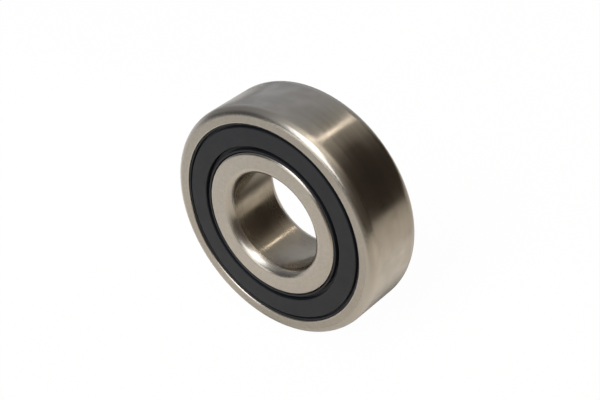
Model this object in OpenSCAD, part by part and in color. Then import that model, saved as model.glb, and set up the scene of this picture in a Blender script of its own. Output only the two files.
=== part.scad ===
// Sealed deep groove ball bearing, 20 mm bore, 47 mm outside diameter, 14 mm wide.
//
// The bearing's axis is Y and the origin is the middle of the bore. The front face looks along -Y,
// and the bearing stands on its rim with +Z up. Every ring, seal and cage half is drawn as a section
// or a stack about a local Z axis, and on_axis() turns local +Z to the front.
//
// In the sections, at(r, t) is a point r from the axis and t below the front ring face.

/* [Boundary dimensions] */
// Bore diameter of the inner ring
bore_d = 20; // [19.5:0.1:20.5]
// Outside diameter of the outer ring
outer_d = 47; // [46.5:0.1:48]
// Width of both rings
width = 14; // [13.8:0.1:14.6]
// Radial extent of the outside diameter's rounded corners
outer_corner_radial = 1.5; // [0.8:0.1:1.6]
// Axial extent of the outside diameter's rounded corners
outer_corner_axial = 2; // [0.8:0.1:2.4]
// Radial extent of the bore's rounded corners
bore_corner_radial = 1.7; // [1.4:0.1:1.8]
// Axial extent of the bore's rounded corners
bore_corner_axial = 1.6; // [1.2:0.1:1.8]
// Angle the bore's rounded corners have turned through where they meet the ground bore
bore_corner_turn = 72; // [70:1:80]

/* [Balls and raceways] */
// Number of balls
ball_count = 8; // [6:1:8]
// Ball diameter, 5/16 inch
ball_d = 7.938; // [7.5:0.001:7.938]
// Pitch diameter of the ball set
pitch_d = 33.5; // [33.3:0.1:33.7]
// Inner groove radius as a share of the ball diameter
inner_conformity = 0.515; // [0.51:0.005:0.53]
// Outer groove radius as a share of the ball diameter
outer_conformity = 0.53; // [0.515:0.005:0.54]
// Clearance between a ball and each raceway
raceway_play = 0.03; // [0.01:0.01:0.05]
// Outside diameter of the inner ring's shoulders
inner_shoulder_d = 29.5; // [29.3:0.1:29.6]
// Inside diameter of the outer ring's shoulders
outer_shoulder_d = 38.2; // [38:0.1:38.4]
// Edge radius where the inner ring's shoulder meets its face
inner_rim_r = 0.6; // [0.2:0.1:0.7]

/* [Seal seats in the rings] */
// Diameter of the outer ring's mouth, through which the seal shows
mouth_d = 40.9; // [40.8:0.1:41]
// Edge radius of that mouth
mouth_edge_r = 0.3; // [0.1:0.05:0.35]
// Axial length of the land between the mouth and the snap groove
mouth_land = 0.55; // [0.5:0.01:0.55]
// Diameter of the snap groove that holds the seal's bead
snap_groove_d = 42; // [42:0.1:42.4]
// Depth of the seal's seat below the ring face
seat_depth = 1.8; // [1.8:0.01:1.9]
// Bottom diameter of the groove in the inner ring that the lip reaches into
lip_groove_d = 28.6; // [28.4:0.1:28.7]

/* [Seals] */
// Depth of the seal's flat face below the ring face
flat_depth = 0.15; // [0.1:0.05:0.3]
// Outside diameter of the flat face
flat_od = 39.4; // [39:0.1:39.5]
// Inside diameter of the flat face
flat_id = 31.9; // [31.7:0.1:32.2]
// Edge radius of the flat face
flat_edge_r = 0.2; // [0.1:0.05:0.3]
// Depth of the moulded groove outside the flat face
outer_groove_depth = 0.9; // [0.6:0.05:0.95]
// Depth of the moulded groove inside the flat face
inner_groove_depth = 1.15; // [0.8:0.05:1.15]
// Thickness of the steel insert
insert_t = 0.4; // [0.3:0.05:0.4]
// Depth of the insert's front side below the ring face
insert_depth = 1.05; // [1:0.01:1.05]

/* [Cage] */
// Thickness of the cage sheet
sheet_t = 0.8; // [0.6:0.05:0.85]
// Clearance between a ball and its pocket
pocket_play = 0.1; // [0.05:0.01:0.15]
// Inside diameter of the cage ribbon
ribbon_id = 30.6; // [30.4:0.1:31]
// Outside diameter of the cage ribbon
ribbon_od = 37.2; // [36.6:0.1:37.4]
// Rivet shank diameter
rivet_d = 1.4; // [1.2:0.1:1.5]
// Rivet head diameter
rivet_head_d = 2.4; // [2.2:0.1:2.6]
// Rivet head height
rivet_head_h = 0.55; // [0.4:0.05:0.6]

/* [Hidden] */
$fn = 96;
over = 0.1; // how far a cutter runs past what it cuts

half_w = width / 2;
bore_r = bore_d / 2;
outer_r = outer_d / 2;
outer_corner = [outer_corner_radial, outer_corner_axial];
bore_corner = [bore_corner_radial, bore_corner_axial];
ball_r = ball_d / 2;
pitch_r = pitch_d / 2;
inner_shoulder_r = inner_shoulder_d / 2;
outer_shoulder_r = outer_shoulder_d / 2;
inner_race_r = inner_conformity * ball_d;
outer_race_r = outer_conformity * ball_d;
inner_race_centre = pitch_r - ball_r - raceway_play + inner_race_r;
outer_race_centre = pitch_r + ball_r + raceway_play - outer_race_r;

mouth_r = mouth_d / 2;
snap_r = snap_groove_d / 2;
snap_slope = 0.3; // axial length of the snap groove's slanted outer flank
lip_groove_r = lip_groove_d / 2;
lip_groove_mouth = [1.1, 2.1]; // where the lip's groove starts and ends, at the shoulder
lip_groove_floor = [1.55, 1.85]; // and at its bottom

bead_gap = 0.02; // clearance between the bead and the outer ring's mouth and snap groove
bead_rim_r = mouth_r - bead_gap; // outside of the bead's visible rim
bead_rim_w = 0.32; // width of that rim
bead_rim_depth = 0.35; // its depth below the ring face
bead_r = snap_r - bead_gap;
bead_chamfer = 0.3; // where the bead meets the seat

flat_or = flat_od / 2;
flat_ir = flat_id / 2;
insert_ir = flat_ir + 0.25;
insert_or = mouth_r - 0.15;
insert_back = insert_depth + insert_t;
insert_rim = 0.3; // length of the insert's bent rim
insert_bend_r = 0.35;
web_back = insert_depth + 0.55; // depth of the flexible web's inner side

lip_gap = 0.08; // clearance between the lip and the inner ring's shoulder
lip_r = inner_shoulder_r + lip_gap;
lip_rim_w = 0.37; // width of the lip's visible rim
lip_rim_depth = 0.18; // its depth below the ring face
lip_bend_depth = 1.3; // where the lip turns from the shoulder into the groove
lip_tip = [at(lip_groove_r + 0.18, 1.72), at(lip_groove_r + 0.32, 1.92)];

pocket_r = ball_r + pocket_play;
ribbon_mid_r = (ribbon_id + ribbon_od) / 4;
step = 360 / ball_count; // angle from one ball to the next
first_ball = 90; // the first ball is at the top

function at(r, t) = [r, half_w - t];
function ball_angle(i) = first_ball + step * (i - 1);
function rivet_angle(i) = ball_angle(i) + step / 2;

// Stands a piece drawn about local Z on the bearing's axis, with local +Z to the front.
module on_axis() rotate([90, 0, 0]) children();

// A piece of the front end, and the same piece turned to the rear end.
module front_end() on_axis() children();
module rear_end() on_axis() mirror([0, 0, 1]) children();

// A section and its mirror image about the bearing's middle plane.
module both_ends() {
    children();
    mirror([0, 1]) children();
}

// What rounds a section's convex corner p when it is cut away. extent is how far the rounding
// reaches, radially and axially, and side_r and side_z are 1 or -1, the way the corner points. The
// rounding is part of an ellipse. It leaves the ring face smoothly and turns through the angle turn:
// below 90 it meets the other face at an edge.
module round_corner(p, extent, side_r, side_z, turn = 90) {
    box = extent + [over, over];
    past = turn < 90 ? extent[1] / (tan(turn) * extent[0] - extent[1]) : 0;
    semi_axes = [extent[0] / sqrt(1 - past * past), extent[1] / (1 - past)];
    translate([p[0] - side_r * extent[0], p[1] - side_z * extent[1]]) difference() {
        translate([min(side_r, 0) * box[0], min(side_z, 0) * box[1]]) square(box);
        translate([0, side_z * (extent[1] - semi_axes[1])]) scale(semi_axes) circle(1);
    }
}

// What the seal's seat takes out of the outer ring: the mouth, the snap groove and the seat.
module seat_section() {
    polygon([
        at(mouth_r, -over),
        at(mouth_r, mouth_land),
        at(snap_r, mouth_land + snap_slope),
        at(snap_r, seat_depth),
        at(outer_shoulder_r - over, seat_depth),
        at(outer_shoulder_r - over, -over)
    ]);
    round_corner(at(mouth_r, 0), [1, 1] * mouth_edge_r, -1, 1);
}

// What the lip's groove takes out of the inner ring's shoulder.
module lip_groove_section()
    polygon([
        at(inner_shoulder_r + over, lip_groove_mouth[0]),
        at(inner_shoulder_r, lip_groove_mouth[0]),
        at(lip_groove_r, lip_groove_floor[0]),
        at(lip_groove_r, lip_groove_floor[1]),
        at(inner_shoulder_r, lip_groove_mouth[1]),
        at(inner_shoulder_r + over, lip_groove_mouth[1])
    ]);

module outer_ring() color("silver") on_axis() rotate_extrude() difference() {
    translate([outer_shoulder_r, -half_w]) square([outer_r - outer_shoulder_r, width]);
    translate([outer_race_centre, 0]) circle(outer_race_r);
    both_ends() seat_section();
    both_ends() round_corner(at(outer_r, 0), outer_corner, 1, 1);
}

module inner_ring() color("silver") on_axis() rotate_extrude() difference() {
    translate([bore_r, -half_w]) square([inner_shoulder_r - bore_r, width]);
    translate([inner_race_centre, 0]) circle(inner_race_r);
    both_ends() lip_groove_section();
    both_ends() round_corner(at(bore_r, 0), bore_corner, -1, 1, bore_corner_turn);
    both_ends() round_corner(at(inner_shoulder_r, 0), [1, 1] * inner_rim_r, 1, 1);
}

module ball(i) color("gainsboro") on_axis()
    rotate([0, 0, ball_angle(i)]) translate([pitch_r, 0, 0]) sphere(ball_r);

// One pressed half of the cage: a flat ribbon that bulges into a pocket over each ball.
module cage_half() difference() {
    intersection() {
        union() {
            cylinder(h = sheet_t, r = ribbon_od / 2 + over);
            for (i = [1:ball_count])
                rotate([0, 0, ball_angle(i)]) translate([pitch_r, 0, 0]) sphere(pocket_r + sheet_t);
        }
        difference() {
            cylinder(h = half_w, d = ribbon_od);
            translate([0, 0, -over]) cylinder(h = half_w + 2 * over, d = ribbon_id);
        }
    }
    for (i = [1:ball_count]) {
        rotate([0, 0, ball_angle(i)]) translate([pitch_r, 0, 0]) sphere(pocket_r);
        rotate([0, 0, rivet_angle(i)]) translate([ribbon_mid_r, 0, -over])
            cylinder(h = sheet_t + 2 * over, d = rivet_d);
    }
}

module cage_front_half() color("lightsteelblue") front_end() cage_half();
module cage_rear_half() color("lightsteelblue") rear_end() cage_half();

// A domed head on the plane z = 0.
module rivet_head() {
    head_r = rivet_head_d / 2;
    dome_r = (head_r * head_r + rivet_head_h * rivet_head_h) / (2 * rivet_head_h);
    intersection() {
        translate([0, 0, rivet_head_h - dome_r]) sphere(dome_r);
        cylinder(h = rivet_head_h + over, r = head_r + over);
    }
}

module cage_rivet(i) color("slategray") on_axis()
    rotate([0, 0, rivet_angle(i)]) translate([ribbon_mid_r, 0, 0]) {
        translate([0, 0, -sheet_t]) cylinder(h = 2 * sheet_t, d = rivet_d);
        translate([0, 0, sheet_t]) rivet_head();
        mirror([0, 0, 1]) translate([0, 0, sheet_t]) rivet_head();
    }

// The seal's steel insert: a flat washer with a rim bent inwards.
module insert_section() difference() {
    polygon([
        at(insert_ir, insert_depth),
        at(insert_or, insert_depth),
        at(insert_or, insert_back + insert_rim),
        at(insert_or - insert_t, insert_back + insert_rim),
        at(insert_or - insert_t, insert_back),
        at(insert_ir, insert_back)
    ]);
    round_corner(at(insert_or, insert_depth), [1, 1] * insert_bend_r, 1, 1);
}

// The rubber moulded on the insert: the flat face, the bead that snaps into the outer ring, and the
// web and lip that reach into the inner ring's groove.
module rubber_section() difference() {
    polygon([
        // flat face
        at(flat_ir, flat_depth),
        at(flat_or, flat_depth),
        at(flat_or, flat_depth + flat_edge_r),
        // groove outside it
        at(flat_or + 0.05, outer_groove_depth),
        at(bead_rim_r - bead_rim_w - 0.05, outer_groove_depth),
        // bead
        at(bead_rim_r - bead_rim_w, bead_rim_depth + 0.05),
        at(bead_rim_r - bead_rim_w + 0.06, bead_rim_depth),
        at(bead_rim_r, bead_rim_depth),
        at(bead_rim_r, mouth_land + bead_gap),
        at(bead_r, mouth_land + snap_slope + bead_gap),
        at(bead_r, seat_depth - bead_chamfer),
        at(bead_r - bead_chamfer, seat_depth),
        at(flat_or, seat_depth),
        // inner side, where the insert is bare
        at(flat_or, insert_back),
        at(insert_ir + 0.3, insert_back),
        at(insert_ir + 0.2, web_back),
        // web and lip
        at(lip_r + 0.5, web_back),
        lip_tip[1],
        lip_tip[0],
        at(lip_r, lip_bend_depth),
        at(lip_r, lip_rim_depth + 0.08),
        at(lip_r + 0.08, lip_rim_depth),
        at(lip_r + lip_rim_w - 0.06, lip_rim_depth),
        at(lip_r + lip_rim_w, lip_rim_depth + 0.06),
        // groove inside the flat face
        at(lip_r + lip_rim_w + 0.05, inner_groove_depth),
        at(flat_ir - 0.08, inner_groove_depth),
        at(flat_ir, flat_depth + flat_edge_r)
    ]);
    insert_section();
    round_corner(at(flat_or, flat_depth), [1, 1] * flat_edge_r, 1, 1);
    round_corner(at(flat_ir, flat_depth), [1, 1] * flat_edge_r, -1, 1);
}

module seal_front_rubber() color([0.2, 0.2, 0.21]) front_end() rotate_extrude() rubber_section();
module seal_rear_rubber() color([0.2, 0.2, 0.21]) rear_end() rotate_extrude() rubber_section();
module seal_front_insert() color("darkgray") front_end() rotate_extrude() insert_section();
module seal_rear_insert() color("darkgray") rear_end() rotate_extrude() insert_section();

outer_ring();
inner_ring();
for (i = [1:ball_count]) ball(i);
cage_front_half();
cage_rear_half();
for (i = [1:ball_count]) cage_rivet(i);
seal_front_rubber();
seal_front_insert();
seal_rear_rubber();
seal_rear_insert();
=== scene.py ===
"""A sealed deep groove ball bearing standing on its rim on a pale floor.

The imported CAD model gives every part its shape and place. This script gives the parts their
materials, and sets up the floor, the room, the lights and the camera. Lengths are in metres and
colours are linear. The bearing's axis is Y, its front face looks along -Y, and +Z is up.
"""

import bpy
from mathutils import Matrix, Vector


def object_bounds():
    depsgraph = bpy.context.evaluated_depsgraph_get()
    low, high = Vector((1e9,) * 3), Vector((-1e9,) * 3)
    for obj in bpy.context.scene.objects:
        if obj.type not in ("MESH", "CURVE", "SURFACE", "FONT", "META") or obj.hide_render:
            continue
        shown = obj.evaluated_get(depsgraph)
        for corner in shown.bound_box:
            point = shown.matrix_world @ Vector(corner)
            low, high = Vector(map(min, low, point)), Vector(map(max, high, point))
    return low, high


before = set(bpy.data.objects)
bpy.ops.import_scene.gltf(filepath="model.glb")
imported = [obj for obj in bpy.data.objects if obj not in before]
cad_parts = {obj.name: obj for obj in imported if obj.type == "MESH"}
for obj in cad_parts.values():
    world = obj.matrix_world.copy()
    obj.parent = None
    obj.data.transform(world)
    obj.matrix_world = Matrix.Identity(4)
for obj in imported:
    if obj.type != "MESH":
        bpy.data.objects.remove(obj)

import fnmatch
import math

import bpy
from mathutils import Vector

MM = 0.001
cad_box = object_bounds()

# Camera, aimed a little off the bearing's centre.
VIEW_AZIMUTH = 38.97
VIEW_ELEVATION = 35.06
VIEW_DISTANCE = 244.8 * MM
VIEW_AIM = Vector((2.69, -1.45, 3.83)) * MM
SENSOR_WIDTH = 36.0
LENS = 79.65
CLIP_START = VIEW_DISTANCE / 100
CLIP_END = 12.0  # well beyond the floor's far edge

# The rings' size, and where one of their finishes ends and the next begins. A corner has a size along
# the radius and one along the axis. The two edges' depths are below the ring's flat face. A mesh face
# that is within the tolerance of a place counts as lying there.
OUTER_RADIUS = (cad_box[1].x - cad_box[0].x) / 2
HALF_WIDTH = (cad_box[1].y - cad_box[0].y) / 2
BORE_RADIUS = 10.0 * MM
MOUTH_RADIUS = 20.45 * MM
OUTER_CORNER_RADIAL = 1.5 * MM
OUTER_CORNER_AXIAL = 2.0 * MM
BORE_CORNER_RADIAL = 1.7 * MM
BORE_CORNER_AXIAL = 1.6 * MM
MOUTH_EDGE_DEPTH = 0.5 * MM
SHOULDER_EDGE_DEPTH = 1.0 * MM
FINISH_TOLERANCE = 0.01 * MM


# ---------------------------------------------------------------- node trees


NOISE_LOW, NOISE_HIGH = 0.3, 0.7  # nearly all of a noise's values lie between these


class Nodes:
    """A tree of shader nodes, and short ways to add to it. Most of them return the new node's output."""

    def __init__(self, tree):
        self.tree = tree

    def add(self, kind, inputs=(), **settings):
        """A node of that kind. inputs are its first sockets' values or the sockets that feed them."""
        made = self.tree.nodes.new(kind)
        for key, value in settings.items():
            setattr(made, key, value)
        for socket, value in zip(made.inputs, inputs):
            self.put(socket, value)
        return made

    def put(self, socket, value):
        """Feeds a socket from another socket, or sets its own value."""
        if isinstance(value, bpy.types.NodeSocket):
            self.tree.links.new(value, socket)
        else:
            socket.default_value = value

    def maths(self, operation, *values):
        return self.add("ShaderNodeMath", values, operation=operation).outputs[0]

    def length(self, across, along):
        """The length of the flat vector (across, along)."""
        return self.maths("SQRT", self.maths("ADD", self.maths("MULTIPLY", across, across),
                                             self.maths("MULTIPLY", along, along)))

    def spread(self, value, low, high, new_low, new_high):
        """value, moved from the range low to high into the range new_low to new_high, and clamped."""
        return self.add("ShaderNodeMapRange", (value, low, high, new_low, new_high)).outputs[0]

    def spread_noise(self, noise, new_low, new_high):
        """A noise's usual values, moved into the range new_low to new_high."""
        return self.spread(noise, NOISE_LOW, NOISE_HIGH, new_low, new_high)

    def mix(self, share, first, second):
        """Colours first and second, mixed by share."""
        made = self.add("ShaderNodeMix", data_type="RGBA")
        for name, kind, value in (("Factor", "VALUE", share), ("A", "RGBA", first), ("B", "RGBA", second)):
            self.put(next(s for s in made.inputs if s.name == name and s.type == kind), value)
        return next(s for s in made.outputs if s.type == "RGBA")

    def scaled(self, colour, share):
        """colour, multiplied by share."""
        made = self.add("ShaderNodeVectorMath", (colour,), operation="SCALE")
        self.put(made.inputs["Scale"], share)
        return made.outputs[0]

    def multiplied(self, first, second):
        """Two colours, multiplied channel by channel."""
        return self.add("ShaderNodeVectorMath", (first, second), operation="MULTIPLY").outputs[0]

    def ramp(self, value, stops):
        """The colour for value, from these (place, colour) stops. The places run from 0 to 1."""
        made = self.add("ShaderNodeValToRGB", (value,))
        elements = made.color_ramp.elements
        while len(elements) < len(stops):
            elements.new(0.5)  # for now: its place is set below
        for element, (place, colour) in zip(elements, stops):
            element.position = place
            element.color = (*colour, 1.0)
        return made.outputs["Color"]

    def seen_by_camera(self, plain, to_camera):
        """The shader plain, with to_camera instead of it where the camera looks straight at it."""
        seen = self.add("ShaderNodeLightPath").outputs["Is Camera Ray"]
        return self.add("ShaderNodeMixShader", (seen, plain, to_camera)).outputs[0]


class Surface(Nodes):
    """A material with one Principled shader."""

    def __init__(self, name, **sockets):
        self.material = bpy.data.materials.new(name)
        self.material.use_nodes = True
        super().__init__(self.material.node_tree)
        self.shader = self.tree.nodes["Principled BSDF"]
        self.feed(**sockets)

    def feed(self, **sockets):
        """Feeds or sets the shader's sockets. Their names have _ for each space."""
        for name, value in sockets.items():
            self.put(self.shader.inputs[name.replace("_", " ")], value)

    def spot(self):
        """The point in the bearing's frame."""
        return self.add("ShaderNodeTexCoord").outputs["Object"]

    def place(self):
        """(x, y, z) of the point in the bearing's frame."""
        return self.add("ShaderNodeSeparateXYZ", (self.spot(),)).outputs

    def noise(self, vector, size, detail, roughness=0.5, w=None):
        """Noise with blobs of that size. w is a fourth coordinate."""
        made = self.add("ShaderNodeTexNoise", noise_dimensions="3D" if w is None else "4D")
        self.put(made.inputs["Vector"], vector)
        if w is not None:
            self.put(made.inputs["W"], w)
        self.put(made.inputs["Scale"], 1 / size)
        self.put(made.inputs["Detail"], detail)
        self.put(made.inputs["Roughness"], roughness)
        return made.outputs["Fac"]

    def wheel_marks(self, width, length, detail, roughness):
        """Noise of the marks that a turning wheel leaves: so wide, and so long round the rim."""
        x, y, z = self.place()
        radius = self.length(x, z)
        along = self.maths("DIVIDE", OUTER_RADIUS / length, radius)
        vector = self.add("ShaderNodeCombineXYZ", (
            self.maths("MULTIPLY", x, along),
            self.maths("MULTIPLY", y, 1 / width),
            self.maths("MULTIPLY", z, along),
        )).outputs[0]
        return self.noise(vector, 1.0, detail, roughness, w=self.maths("MULTIPLY", radius, 1 / width))

    def bump(self, height, depth):
        """Surface relief, depth metres from height 0 to height 1."""
        made = self.add("ShaderNodeBump")
        self.put(made.inputs["Distance"], depth)
        self.put(made.inputs["Height"], height)
        self.feed(Normal=made.outputs["Normal"])


# ---------------------------------------------------------------- materials


STEEL = (0.42, 0.395, 0.355, 1.0)
STEEL_WARM = (0.44, 0.40, 0.345, 1.0)
STEEL_BRIGHT = (0.5, 0.48, 0.45, 1.0)
# The bore's colours are the ring steel painted darker and warmer: painted shade for the hollow bore.
BORE_STEEL_SHADED = (0.40, 0.37, 0.32, 1.0)
BORE_STEEL_SHADED_WARM = (0.42, 0.36, 0.275, 1.0)
OUTER_FACE = (0.37, 0.345, 0.305, 1.0)
OUTER_FACE_WARM = (0.385, 0.35, 0.30, 1.0)
BALL_STEEL = (0.60, 0.59, 0.57, 1.0)
BALL_STEEL_BRIGHT = (0.66, 0.65, 0.64, 1.0)
CAGE_STEEL = (0.36, 0.35, 0.33, 1.0)
CAGE_STEEL_WORN = (0.5, 0.49, 0.46, 1.0)
RIVET_STEEL = (0.4, 0.39, 0.37, 1.0)
RIVET_STEEL_WORN = (0.55, 0.54, 0.52, 1.0)
INSERT_STEEL = (0.26, 0.26, 0.25, 1.0)
INSERT_STEEL_WORN = (0.38, 0.38, 0.36, 1.0)
RUBBER = (0.0050, 0.0058, 0.0078, 1.0)
RUBBER_PALE = (0.0065, 0.0074, 0.0098, 1.0)
RUBBER_IOR = 1.42

# Roughness, from the smoothest spots of a finish to its roughest.
GROUND_ROUGHNESS = (0.145, 0.18)
BORE_ROUGHNESS = (0.18, 0.22)
CORNER_ROUGHNESS = (0.20, 0.27)
BORE_CORNER_ROUGHNESS = (0.23, 0.29)
FACE_ROUGHNESS = (0.30, 0.38)
HONED_ROUGHNESS = (0.10, 0.16)
BALL_ROUGHNESS = (0.05, 0.12)
SHEET_ROUGHNESS = (0.30, 0.46)
RUBBER_ROUGHNESS = (0.50, 0.60)

# Ground steel. It is rougher toward the ring's ends, and duller and rougher under a film of oil.
GRINDING_ANISOTROPY = 0.88
QUARTER_TURN = 0.25
LINE_BRIGHTNESS = (0.975, 1.02)
OILY_NOISE = (0.42, 0.62)  # the smears' noise where the steel is clean, and where it is fully oily
OILY_BRIGHTNESS = 0.88
OILY_ROUGHNESS = 0.035
END_ZONE = (1.5 * MM, 5.5 * MM)  # from the middle of the ring's width
END_ROUGHNESS = 0.08

MOTTLE_BRIGHTNESS = (0.93, 1.07)  # of a satin face
BALL_MARK_NOISE = (0.5, 0.75)  # the marks' noise where a ball is clear, and where it is marked
WEAR_NOISE = (0.45, 0.65)  # the wear's noise where sheet steel is dull, and where it is worn bright
ROLLING_STRETCH = 0.15  # x counts so much in the rolling streaks, so they are long that way


def ground_steel(name, base, warm, roughness):
    """The outside diameter and the bore: ground round and round, so highlights run along the axis."""
    s = Surface(name, Metallic=1.0, Anisotropic=GRINDING_ANISOTROPY, Anisotropic_Rotation=QUARTER_TURN)
    fine_lines = s.wheel_marks(width=0.06 * MM, length=9 * MM, detail=3.0, roughness=0.6)
    coarse_lines = s.wheel_marks(width=0.5 * MM, length=40 * MM, detail=2.0, roughness=0.5)
    smears = s.noise(s.spot(), size=4 * MM, detail=2.0)
    brightness = s.maths("MULTIPLY", s.spread(smears, *OILY_NOISE, 1.0, OILY_BRIGHTNESS),
                         s.spread_noise(coarse_lines, *LINE_BRIGHTNESS))
    off_middle = s.maths("ABSOLUTE", s.place()["Y"])
    near_end = s.spread(off_middle, *END_ZONE, 0.0, END_ROUGHNESS)
    oily = s.spread(smears, *OILY_NOISE, 0.0, OILY_ROUGHNESS)
    ground = s.maths("ADD", s.spread_noise(coarse_lines, *roughness), near_end)
    s.feed(
        Base_Color=s.scaled(s.mix(coarse_lines, base, warm), brightness),
        Roughness=s.maths("ADD", ground, oily),
        Tangent=s.add("ShaderNodeTangent", direction_type="RADIAL", axis="Y").outputs[0],
    )
    s.bump(fine_lines, depth=0.0006 * MM)
    return s.material


def lapped_steel(name, base, warm):
    """A flat ring face: a satin with a fine mottle and faint clouds."""
    s = Surface(name, Metallic=1.0)
    spot = s.spot()
    satin = s.noise(spot, size=0.12 * MM, detail=4.0, roughness=0.7)
    mottle = s.noise(spot, size=0.4 * MM, detail=2.0, roughness=0.6)
    clouds = s.noise(spot, size=6 * MM, detail=2.0)
    s.feed(
        Base_Color=s.scaled(s.mix(clouds, base, warm), s.spread_noise(mottle, *MOTTLE_BRIGHTNESS)),
        Roughness=s.spread_noise(satin, *FACE_ROUGHNESS),
    )
    s.bump(satin, depth=0.0012 * MM)
    return s.material


def corner_steel(name, roughness):
    """The rounded corners: turned and tumbled, with no grinding lines."""
    s = Surface(name, Metallic=1.0)
    turning = s.wheel_marks(width=0.15 * MM, length=12 * MM, detail=3.0, roughness=0.6)
    s.feed(Base_Color=s.mix(turning, STEEL, STEEL_WARM), Roughness=s.spread_noise(turning, *roughness))
    s.bump(turning, depth=0.0008 * MM)
    return s.material


def honed_steel():
    """Raceways, shoulders and seal seats: bright and nearly smooth."""
    s = Surface("honed_steel", Metallic=1.0)
    honing = s.wheel_marks(width=0.05 * MM, length=6 * MM, detail=2.0, roughness=0.5)
    s.feed(
        Base_Color=s.mix(honing, STEEL, STEEL_BRIGHT),
        Roughness=s.spread_noise(honing, *HONED_ROUGHNESS),
    )
    return s.material


def ball_steel():
    """The balls: lapped to a mirror, with a few hair-fine marks."""
    s = Surface("ball_steel", Metallic=1.0)
    marks = s.noise(s.spot(), size=0.5 * MM, detail=5.0, roughness=0.8)
    s.feed(
        Base_Color=s.mix(marks, BALL_STEEL, BALL_STEEL_BRIGHT),
        Roughness=s.spread(marks, *BALL_MARK_NOISE, *BALL_ROUGHNESS),
    )
    return s.material


def pressed_steel(name, base, worn):
    """Cold-rolled sheet and wire: dull, with rolling streaks and brighter worn spots."""
    s = Surface(name, Metallic=1.0)
    x, y, z = s.place()
    streak = s.add("ShaderNodeCombineXYZ", (s.maths("MULTIPLY", x, ROLLING_STRETCH), y, z)).outputs[0]
    rolled = s.noise(streak, size=0.15 * MM, detail=4.0, roughness=0.65)
    wear = s.noise(s.spot(), size=1.4 * MM, detail=3.0)
    s.feed(
        Base_Color=s.mix(s.spread(wear, *WEAR_NOISE, 0.0, 1.0), base, worn),
        Roughness=s.spread_noise(rolled, *SHEET_ROUGHNESS),
    )
    s.bump(rolled, depth=0.003 * MM)
    return s.material


def seal_rubber():
    """Moulded nitrile rubber: slate black and matt, with the fine texture of the mould."""
    s = Surface("seal_rubber", IOR=RUBBER_IOR)
    spot = s.spot()
    grain = s.noise(spot, size=0.18 * MM, detail=3.0, roughness=0.6)
    clouds = s.noise(spot, size=3.5 * MM, detail=3.0, roughness=0.6)
    s.feed(
        Base_Color=s.mix(clouds, RUBBER, RUBBER_PALE),
        Roughness=s.spread_noise(clouds, *RUBBER_ROUGHNESS),
    )
    s.bump(grain, depth=0.004 * MM)
    return s.material


# ---------------------------------------------------------------- CAD parts


def finish_by_place(piece, materials, choose):
    """Gives each face of a CAD node the material that choose(radius, depth) names. depth is the
    distance below the nearer ring face."""
    mesh = piece.data
    mesh.materials.clear()
    names = list(materials)
    for name in names:
        mesh.materials.append(materials[name])
    for polygon in mesh.polygons:
        middle = polygon.center
        radius = math.hypot(middle.x, middle.z)
        depth = HALF_WIDTH - abs(middle.y)
        polygon.material_index = names.index(choose(radius, depth))


def outer_ring_finish(radius, depth):
    if depth < FINISH_TOLERANCE:
        return "face"
    if radius > OUTER_RADIUS - OUTER_CORNER_RADIAL:
        return "ground" if depth > OUTER_CORNER_AXIAL else "corner"
    in_mouth = radius > MOUTH_RADIUS - FINISH_TOLERANCE and depth < MOUTH_EDGE_DEPTH
    return "corner" if in_mouth else "honed"


def inner_ring_finish(radius, depth):
    if depth < FINISH_TOLERANCE:
        return "face"
    if radius < BORE_RADIUS + BORE_CORNER_RADIAL:
        return "bore" if depth > BORE_CORNER_AXIAL else "bore_corner"
    return "corner" if depth < SHOULDER_EDGE_DEPTH else "honed"


def finish_rings():
    steel = {
        "ground": ground_steel("ground_steel", STEEL, STEEL_WARM, GROUND_ROUGHNESS),
        # The bore's darker, warmer colours are painted shade.
        "bore": ground_steel("shaded_bore_steel", BORE_STEEL_SHADED, BORE_STEEL_SHADED_WARM, BORE_ROUGHNESS),
        "corner": corner_steel("corner_steel", CORNER_ROUGHNESS),
        "bore_corner": corner_steel("bore_corner_steel", BORE_CORNER_ROUGHNESS),
        "honed": honed_steel(),
    }
    outer_face = lapped_steel("outer_face_steel", OUTER_FACE, OUTER_FACE_WARM)
    inner_face = lapped_steel("inner_face_steel", STEEL, STEEL_WARM)
    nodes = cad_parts
    finish_by_place(nodes["outer_ring"], {"face": outer_face, **steel}, outer_ring_finish)
    finish_by_place(nodes["inner_ring"], {"face": inner_face, **steel}, inner_ring_finish)


def finish_other_parts():
    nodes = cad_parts
    materials = {
        "ball_*": ball_steel(),
        "cage_*_half": pressed_steel("cage_steel", CAGE_STEEL, CAGE_STEEL_WORN),
        "cage_rivet_*": pressed_steel("rivet_steel", RIVET_STEEL, RIVET_STEEL_WORN),
        "seal_*_insert": pressed_steel("insert_steel", INSERT_STEEL, INSERT_STEEL_WORN),
        "seal_*_rubber": seal_rubber(),
    }
    for pattern, material in materials.items():
        for name in fnmatch.filter(nodes, pattern):
            nodes[name].data.materials[0] = material


# ---------------------------------------------------------------- studio


WHITE = (1.0, 1.0, 1.0, 1.0)
FLOOR_RADIUS = 4.0
FLOOR_CORNERS = 96
FLOOR_WHITENESS = 0.98  # the camera sees this share of the floor as plain white

# A long narrow light overhead, parallel to the bearing's axis.
STRIP_ANGLE = 84.0  # above +X, in the plane across the bearing's axis
STRIP_DISTANCE = 0.6
STRIP_SIZE = (1.4, 0.022)
STRIP_RADIANCE = 4.9
STRIP_COLOUR = (1.0, 0.90, 0.78)

# A window, high in front of the bearing.
WINDOW_DIRECTION = Vector((0.035, -0.72, 0.69))
WINDOW_DISTANCE = 1.2
WINDOW_SIZE = (0.76, 1.24)
WINDOW_RADIANCE = 2.6
WINDOW_COLOUR = (0.95, 0.98, 1.04)

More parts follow.
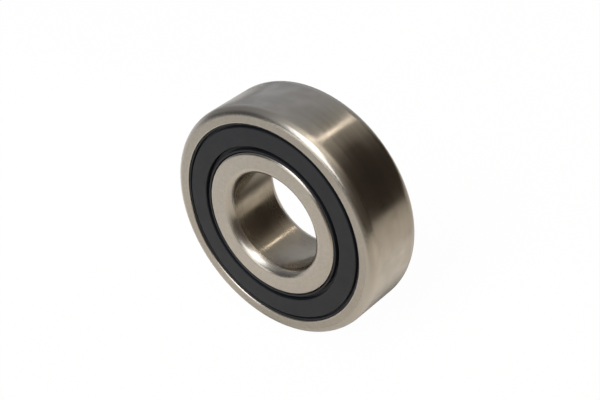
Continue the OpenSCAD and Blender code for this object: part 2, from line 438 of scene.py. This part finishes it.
# Two bright cards in front of the bearing and a little to the left: one lies on the table, and one
# stands farther off and faces the bearing.
CARD_COLOUR = (1.0, 0.99, 0.96)
LYING_CARD_PLACE = Vector((-0.0625, -0.1825, -0.022))
LYING_CARD_SIZE = (0.075, 0.155)
LYING_CARD_RADIANCE = 1.1
STANDING_CARD_PLACE = Vector((-0.155, -0.58, 0.063))
STANDING_CARD_SIZE = (0.30, 0.17)
STANDING_CARD_RADIANCE = 1.9

# More light from the window's side, which the metal doesn't mirror.
KEY_DISTANCE = 1.5
KEY_SIZE = (0.5, 0.5)
KEY_RADIANCE = 20.0
KEY_COLOUR = (1.0, 0.99, 0.98)

# The paper on the floor as the bearing sees it, with painted light and shade: a colour by the place
# across, times a share by the place along, times a painted shade. Together they paint a pool of light that
# is brightest just to the left of the bearing and fades in front.
PAPER_REACH = 0.5  # the places across and along run from -PAPER_REACH to PAPER_REACH
PAPER_LIGHT_ACROSS = (
    (-0.50, (0.62, 0.63, 0.645)),
    (-0.20, (0.74, 0.75, 0.765)),
    (-0.14, (0.80, 0.80, 0.815)),
    (-0.10, (0.86, 0.86, 0.86)),
    (-0.07, (0.97, 0.96, 0.95)),
    (-0.05, (1.08, 1.07, 1.04)),
    (-0.035, (0.95, 0.93, 0.89)),
    (-0.015, (1.04, 1.01, 0.96)),
    (0.0, (1.00, 0.965, 0.91)),
    (0.03, (0.97, 0.93, 0.865)),
    (0.045, (0.86, 0.815, 0.745)),
    (0.06, (0.78, 0.73, 0.65)),
    (0.075, (0.83, 0.77, 0.68)),
    (0.10, (0.82, 0.76, 0.655)),
    (0.17, (0.69, 0.63, 0.54)),
    (0.30, (0.60, 0.54, 0.45)),
    (0.38, (0.12, 0.105, 0.085)),
    (0.50, (0.06, 0.05, 0.04)),
)
PAPER_LIGHT_ALONG = (
    (-0.200, 0.20),
    (-0.125, 0.25),
    (-0.100, 0.32),
    (-0.080, 0.48),
    (-0.070, 0.60),
    (-0.058, 0.74),
    (-0.048, 0.79),
    (-0.030, 0.80),
    (-0.020, 0.85),
    (-0.005, 0.92),
    (0.005, 1.0),
    (0.025, 1.0),
    (0.050, 0.80),
    (0.130, 0.76),
    (0.500, 0.70),
)
# The paper is darker round the line that the bearing stands on and in the shadow behind it. Both
# shades go by the distance from their middle, which counts so many times across and along.
CONTACT_HALF_LENGTH = 5 * MM
CONTACT_STRETCH = (1.0, 3.5)
SHADOW_MIDDLE = (10 * MM, 22 * MM)
SHADOW_STRETCH = (0.9, 0.45)
PAPER_SHADE = (
    (0.0, 0.15),
    (0.005, 0.34),
    (0.009, 0.70),
    (0.013, 0.85),
    (0.020, 0.95),
    (0.025, 1.0),
)
PAPER_ROUGHNESS = 0.9
PAPER_SCATTER = 0.80
# The paper glows by this much of its painted light, though it is no lamp.
PAPER_PAINTED_GLOW = 0.10

# What the room shows the metal in front, above and behind, by the angle above +X in the plane across
# the bearing's axis, in degrees.
ROOM_FRONT = (
    (0, (0.12, 0.10, 0.085)),
    (25, (0.12, 0.10, 0.085)),
    (42, (0.26, 0.235, 0.21)),
    (60, (0.50, 0.48, 0.45)),
    (120, (0.50, 0.50, 0.50)),
    (148, (0.11, 0.11, 0.12)),
    (180, (0.11, 0.11, 0.12)),
)
ROOM_ABOVE = (
    (0, (0.09, 0.075, 0.06)),
    (38, (0.09, 0.075, 0.06)),
    (50, (0.24, 0.21, 0.18)),
    (60, (0.90, 0.81, 0.70)),
    (70, (1.40, 1.29, 1.13)),
    (95, (1.10, 1.06, 0.98)),
    (110, (0.60, 0.60, 0.59)),
    (125, (0.37, 0.38, 0.39)),
    (145, (0.33, 0.335, 0.35)),
    (180, (0.31, 0.315, 0.33)),
)
ROOM_BACK = (
    (0, (0.045, 0.035, 0.028)),
    (62, (0.045, 0.035, 0.028)),
    (72, (0.20, 0.175, 0.14)),
    (82, (0.36, 0.33, 0.28)),
    (102, (0.37, 0.37, 0.36)),
    (112, (0.44, 0.45, 0.47)),
    (132, (0.53, 0.54, 0.58)),
    (152, (0.55, 0.57, 0.61)),
    (180, (0.58, 0.60, 0.65)),
)
HALF_ROUND = 180  # the angle where the room's stops end
# One of those gives way to the next while the direction's part along +Y goes through these ranges.
FRONT_TO_ABOVE = (-0.6, -0.1)
ABOVE_TO_BACK = (0.22, 0.6)


def greys(stops):
    """Stops with a grey in place of each share."""
    return [(place, (share,) * 3) for place, share in stops]


def shifted(stops, shift):
    """Stops with their places moved by shift."""
    return [(place + shift, colour) for place, colour in stops]


def stretched_distance(s, across, along, stretch):
    """The length of (across, along) with its two parts multiplied by those of stretch."""
    return s.length(s.maths("MULTIPLY", across, stretch[0]), s.maths("MULTIPLY", along, stretch[1]))


def paper_shade(s, x, y):
    """A grey for the light that reaches (x, y): little at the contact line and in the shadow."""
    beyond = s.maths("MAXIMUM", s.maths("SUBTRACT", s.maths("ABSOLUTE", y), CONTACT_HALF_LENGTH), 0.0)
    contact = stretched_distance(s, x, beyond, CONTACT_STRETCH)
    shadow = stretched_distance(s, s.maths("SUBTRACT", x, SHADOW_MIDDLE[0]),
                                s.maths("SUBTRACT", y, SHADOW_MIDDLE[1]), SHADOW_STRETCH)
    return s.ramp(s.maths("MINIMUM", contact, shadow), greys(PAPER_SHADE))


def floor_paper():
    """Paper with painted light and shade: bright near the bearing, darker far out of the picture, and
    glowing a little. The camera sees it nearly white.
    """
    s = Surface("floor_paper", Roughness=PAPER_ROUGHNESS)
    x, y, _ = s.place()
    # The paper's brightness here is painted light and shade, not the paper's own colour.
    across = s.ramp(s.maths("ADD", x, PAPER_REACH), shifted(PAPER_LIGHT_ACROSS, PAPER_REACH))
    along = s.ramp(s.maths("ADD", y, PAPER_REACH), greys(shifted(PAPER_LIGHT_ALONG, PAPER_REACH)))
    painted_light = s.multiplied(across, s.multiplied(along, paper_shade(s, x, y)))
    s.feed(
        Base_Color=s.scaled(painted_light, PAPER_SCATTER),
        Emission_Color=painted_light,
        Emission_Strength=PAPER_PAINTED_GLOW,
    )
    paper = s.shader.outputs[0]
    white = s.add("ShaderNodeEmission", (WHITE,)).outputs[0]
    nearly_white = s.add("ShaderNodeMixShader", (FLOOR_WHITENESS, paper, white)).outputs[0]
    output = s.tree.nodes["Material Output"]
    s.put(output.inputs["Surface"], s.seen_by_camera(paper, nearly_white))
    return s.material


def make_floor():
    bpy.ops.mesh.primitive_circle_add(vertices=FLOOR_CORNERS, radius=FLOOR_RADIUS, fill_type="NGON",
                                      location=(0, 0, cad_box[0].z))
    floor = bpy.context.object
    floor.name = "floor"
    floor.data.materials.append(floor_paper())


def make_room():
    """The world: dark on the right, a soft grey on the left, and white where the camera sees it."""
    world = bpy.data.worlds.new("room")
    bpy.context.scene.world = world
    world.use_nodes = True
    world.node_tree.nodes.clear()
    n = Nodes(world.node_tree)
    direction = n.add("ShaderNodeTexCoord").outputs["Generated"]
    x, y, z = n.add("ShaderNodeSeparateXYZ", (direction,)).outputs
    turn = n.spread(n.maths("ARCTAN2", z, x), 0.0, math.pi, 0.0, 1.0)
    front, above, back = (
        n.ramp(turn, [(degrees / HALF_ROUND, colour) for degrees, colour in stops])
        for stops in (ROOM_FRONT, ROOM_ABOVE, ROOM_BACK)
    )
    front_and_above = n.mix(n.spread(y, *FRONT_TO_ABOVE, 0.0, 1.0), front, above)
    colour = n.mix(n.spread(y, *ABOVE_TO_BACK, 0.0, 1.0), front_and_above, back)
    room = n.add("ShaderNodeBackground", (colour,)).outputs[0]
    white = n.add("ShaderNodeBackground", (WHITE,)).outputs[0]
    n.add("ShaderNodeOutputWorld", (n.seen_by_camera(room, white),))


def make_light(name, place, aim, size, radiance, colour):
    """A rectangular light at place that shines toward aim, and that the camera doesn't see."""
    light = bpy.data.lights.new(name, "AREA")
    light.shape = "RECTANGLE"
    light.size, light.size_y = size
    light.energy = radiance * math.pi * size[0] * size[1]
    light.color = colour
    lamp = bpy.data.objects.new(name, light)
    lamp.location = place
    lamp.rotation_mode = "QUATERNION"
    lamp.rotation_quaternion = (place - aim).to_track_quat("Z", "Y")
    lamp.visible_camera = False
    bpy.context.scene.collection.objects.link(lamp)
    return lamp


def make_lights():
    middle = Vector((0, 0, 0))
    up = Vector((0, 0, 1))
    angle = math.radians(STRIP_ANGLE)
    strip = STRIP_DISTANCE * Vector((math.cos(angle), 0.0, math.sin(angle)))
    window = WINDOW_DIRECTION.normalized()
    make_light("strip", strip, middle, STRIP_SIZE, STRIP_RADIANCE, STRIP_COLOUR)
    make_light("window", window * WINDOW_DISTANCE, middle, WINDOW_SIZE, WINDOW_RADIANCE, WINDOW_COLOUR)
    make_light("lying_card", LYING_CARD_PLACE, LYING_CARD_PLACE + up, LYING_CARD_SIZE,
               LYING_CARD_RADIANCE, CARD_COLOUR)
    make_light("standing_card", STANDING_CARD_PLACE, middle, STANDING_CARD_SIZE,
               STANDING_CARD_RADIANCE, CARD_COLOUR)
    key = make_light("key", window * KEY_DISTANCE, middle, KEY_SIZE, KEY_RADIANCE, KEY_COLOUR)
    key.visible_glossy = False


def make_camera():
    azimuth, elevation = math.radians(VIEW_AZIMUTH), math.radians(VIEW_ELEVATION)
    back = Vector((
        math.sin(azimuth) * math.cos(elevation),
        -math.cos(azimuth) * math.cos(elevation),
        math.sin(elevation),
    ))
    camera = bpy.data.objects.new("camera", bpy.data.cameras.new("camera"))
    camera.data.sensor_width = SENSOR_WIDTH
    camera.data.lens = LENS
    camera.data.clip_start = CLIP_START
    camera.data.clip_end = CLIP_END
    camera.location = VIEW_AIM + back * VIEW_DISTANCE
    camera.rotation_mode = "QUATERNION"
    camera.rotation_quaternion = (-back).to_track_quat("-Z", "Y")
    bpy.context.scene.collection.objects.link(camera)
    bpy.context.scene.camera = camera


finish_rings()
finish_other_parts()
make_floor()
make_room()
make_lights()
make_camera()
bpy.context.scene.view_settings.view_transform = "Standard"
